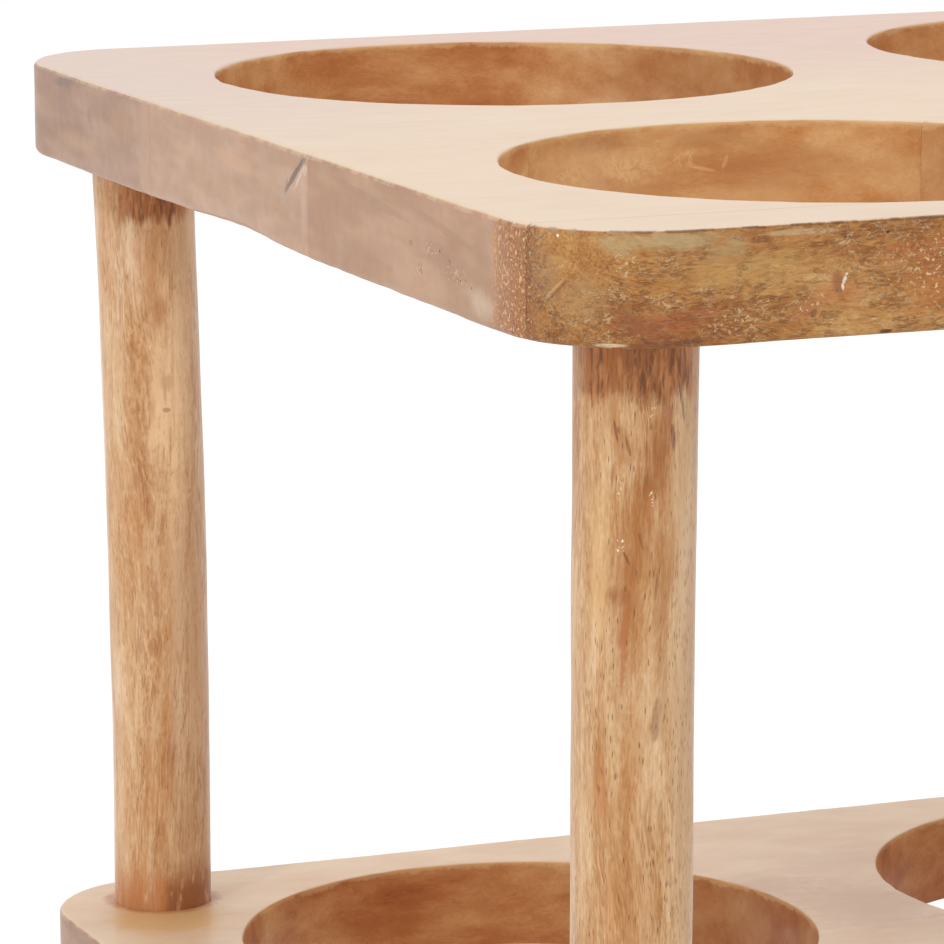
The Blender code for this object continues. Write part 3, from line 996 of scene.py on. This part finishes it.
class PostWood(Wood):
    """The wood of one post, with the length round it from the side that faces the camera."""

    def __init__(self, name, seed):
        super().__init__(f"post_{name}_wood", "Z", seed)
        self.name = name
        low, high = (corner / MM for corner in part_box(f"post_{name}"))
        self.round_it = self.around(((low.x + high.x) / 2, (low.y + high.y) / 2),
                                    (high.x - low.x) / 2, TOWARDS_CAMERA)
        self.lifts = self.noise(self.scaled(self.mm, 2.2, 2.2, 0.5), detail=3, roughness=0.6)

    def long_streaks(self):
        # The right side paler: partly paler wood, partly painted light against the shade the lamp leaves
        # there
        right_side = self.span(self.round_it, 1.4, 2.8)
        self.tint(right_side, PALE_AND_LIT_SIDE, 0.5)
        streaky = self.patches(1.3, 0.5, 9.0)
        self.tint(self.times(self.wisps(5.0, 0.55, 0.09), streaky), DARK_STREAK, 0.45)
        self.tint(self.times(self.wisps(4.0, 0.45, 0.06, shift=3.1), streaky), PALE_STREAK, 0.35)

    def post_marks(self):
        place = (self.round_it, self.z)
        fibres = self.noise(self.scaled(self.grain, 0.25, 3.0, 3.0), detail=3)
        self.marks(place, POST_MARKS.get(self.name, ()), self.span(fibres, 0.35, 0.6, 0.45, 1.0))
        if self.name == "front_left":
            # Painted glints of specular highlight
            self.marks(place, GLINTS, self.speckle(5.0, 0.55))

    def pores(self):
        """Pores all over, and more of them on the right of the side that faces the camera."""
        depth = 0.65 if self.name.startswith("front") else 0.3
        pores = self.dashes(1.0, 0.15, 0.30, 0.30)
        self.tint(pores, PORE, depth)
        crowd = self.dashes(0.8, 0.13, 0.34, 0.6, shift=8.3)
        self.tint(self.times(crowd, self.span(self.round_it, 0.0, 2.2)), PORE, depth)
        self.engrave(pores, -0.8)

    def stained_and_shaded_top(self):
        """The dark band under the upper tier, partly stain and partly painted shadow of the tier, with a
        dripping lower edge.
        """
        drips = self.noise(self.scaled(self.mm, 1.5, 1.5, 0.10), detail=3, roughness=0.6)
        edge = self.plus(self.z, self.times(self.minus(drips, 0.5), 3.6))
        lip = STAIN_AND_SHADOW_Z.get(self.name, STAIN_AND_SHADOW_Z["others"])
        stain_and_shadow = self.span(self.rough(edge, 1.5), lip, lip + 1.1)
        if self.name == "back_left":
            stain_and_shadow = self.times(stain_and_shadow, self.span(self.round_it, -3.0, -1.2))
        middle = self.span(self.math("ABSOLUTE", self.round_it), 4.2, 2.9, 0.30, 1.0)
        # Stain and painted shadow of the upper tier
        self.tint(self.times(stain_and_shadow, middle), STAIN_AND_SHADOW, 0.85)
        deep = self.times(self.span(self.round_it, -1.4, -0.4), self.span(self.round_it, 3.0, 2.0))
        self.tint(self.times(stain_and_shadow, deep), DARK_STAIN_AND_SHADOW, 0.30)
        runs = self.noise(self.scaled(self.mm, 4.2, 4.2, 0.45), detail=4, roughness=0.65, distortion=0.5)
        self.tint(self.times(stain_and_shadow, middle, self.span(runs, 0.50, 0.60)), DARK_STAIN_AND_SHADOW, 0.75)
        self.tint(self.times(stain_and_shadow, middle, self.span(self.lifts, 0.52, 0.66)), LIFTED_STAIN, 0.55)

    def stained_foot(self):
        """The brown stain just above the lower tier."""
        foot = self.times(self.span(self.rough(self.z, 3.0), 28.5, 25.5),
                          self.span(self.z, 22.0, 24.0), self.span(self.lifts, 0.26, 0.48))
        self.tint(foot, FOOT_STAIN, 0.65)
        self.tint(self.times(foot, self.span(self.round_it, 0.8, 2.2)), DARK_FOOT_STAIN, 0.7)


def post_wood(name, seed):
    wood = PostWood(name, seed)
    wood.figure(shades(*POST_MIDDLE[name]), swirl=0.3, fibre=0.55, streak=0.85, cloud=0.8)
    wood.long_streaks()
    wood.post_marks()
    wood.pores()
    # Stain and painted shadow under the upper tier
    wood.stained_and_shaded_top()
    wood.stained_foot()
    return wood.finish((0.40, 0.54), 0.12, relief=0.03, sheen=0.5)


# ---------------------------------------------------------------- studio

def make_floor():
    bm = bmesh.new()
    bmesh.ops.create_circle(bm, cap_ends=True, radius=6.0, segments=96)
    floor = mesh_object("studio_floor", bm)
    floor.location.z = cad_box[0].z - 0.02 * MM
    g = Graph(bpy.data.materials.new("floor_white"))
    shader = g.node("ShaderNodeBsdfPrincipled")
    shader.inputs["Base Color"].default_value = (0.9, 0.9, 0.9, 1)
    shader.inputs["Roughness"].default_value = 0.9
    shader.inputs["Specular IOR Level"].default_value = 0.1
    out = g.node("ShaderNodeOutputMaterial")
    g.tree.links.new(shader.outputs[0], out.inputs["Surface"])
    floor.data.materials.append(g.material)


def area_light(name, place, target, size, power, colour=(1, 1, 1)):
    data = bpy.data.lights.new(name, "AREA")
    data.shape = "DISK"
    data.size = size
    data.energy = power
    data.color = colour
    light = bpy.data.objects.new(name, data)
    light.location = place
    light.rotation_euler = (Vector(target) - Vector(place)).to_track_quat("-Z", "Y").to_euler()
    bpy.context.scene.collection.objects.link(light)


def make_studio():
    world = bpy.data.worlds.new("white_studio")
    world.use_nodes = True
    world.node_tree.nodes["Background"].inputs["Color"].default_value = (1, 1, 1, 1)
    world.node_tree.nodes["Background"].inputs["Strength"].default_value = 0.95
    bpy.context.scene.world = world
    middle = (cad_box[0] + cad_box[1]) / 2
    area_light("key", middle + Vector((-0.84, -0.60, 0.82)), middle, size=0.16, power=3.0,
               colour=(1.0, 0.98, 0.95))
    area_light("top", middle + Vector((0.1, 0.5, 1.2)), middle, size=1.0, power=3.5)
    bpy.context.scene.view_settings.view_transform = "Standard"


# The camera's place from the upper tier's near left corner, in millimetres, and its angles
CAMERA_FROM_CORNER = (-115.97, -276.88, 42.24)
CAMERA_YAW = 21.81
CAMERA_PITCH = -10.41
CAMERA_ROLL = 0.21
CAMERA_LENS = 213.15


def make_camera():
    data = bpy.data.cameras.new("camera")
    data.lens = CAMERA_LENS
    data.sensor_width = 36.0
    data.clip_start = 0.01
    data.clip_end = 50.0
    camera = bpy.data.objects.new("camera", data)
    bpy.context.scene.collection.objects.link(camera)
    corner = Vector((cad_box[0].x, cad_box[0].y, cad_box[1].z))
    aim = Matrix.Rotation(-math.radians(CAMERA_YAW), 4, "Z")
    aim @= Matrix.Rotation(math.radians(90 + CAMERA_PITCH), 4, "X")
    aim @= Matrix.Rotation(-math.radians(CAMERA_ROLL), 4, "Z")
    camera.matrix_world = Matrix.Translation(corner + Vector(CAMERA_FROM_CORNER) * MM) @ aim
    bpy.context.scene.camera = camera


# ---------------------------------------------------------------- the object

def place_piece(piece, node, material):
    piece.data.materials.clear()
    piece.data.materials.append(material)
    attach(piece, "root")
    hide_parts(node)


make_camera()
make_studio()
make_floor()
for tier in TIERS:
    for index, (name, piece) in enumerate(make_tier(tier).items()):
        look = stave_wood(tier, name, index + 10 * TIERS.index(tier))
        place_piece(piece, f"{tier}_{name}", look)
for index, name in enumerate(POSTS):
    place_piece(make_post(name), f"post_{name}", post_wood(name, 31 + index))
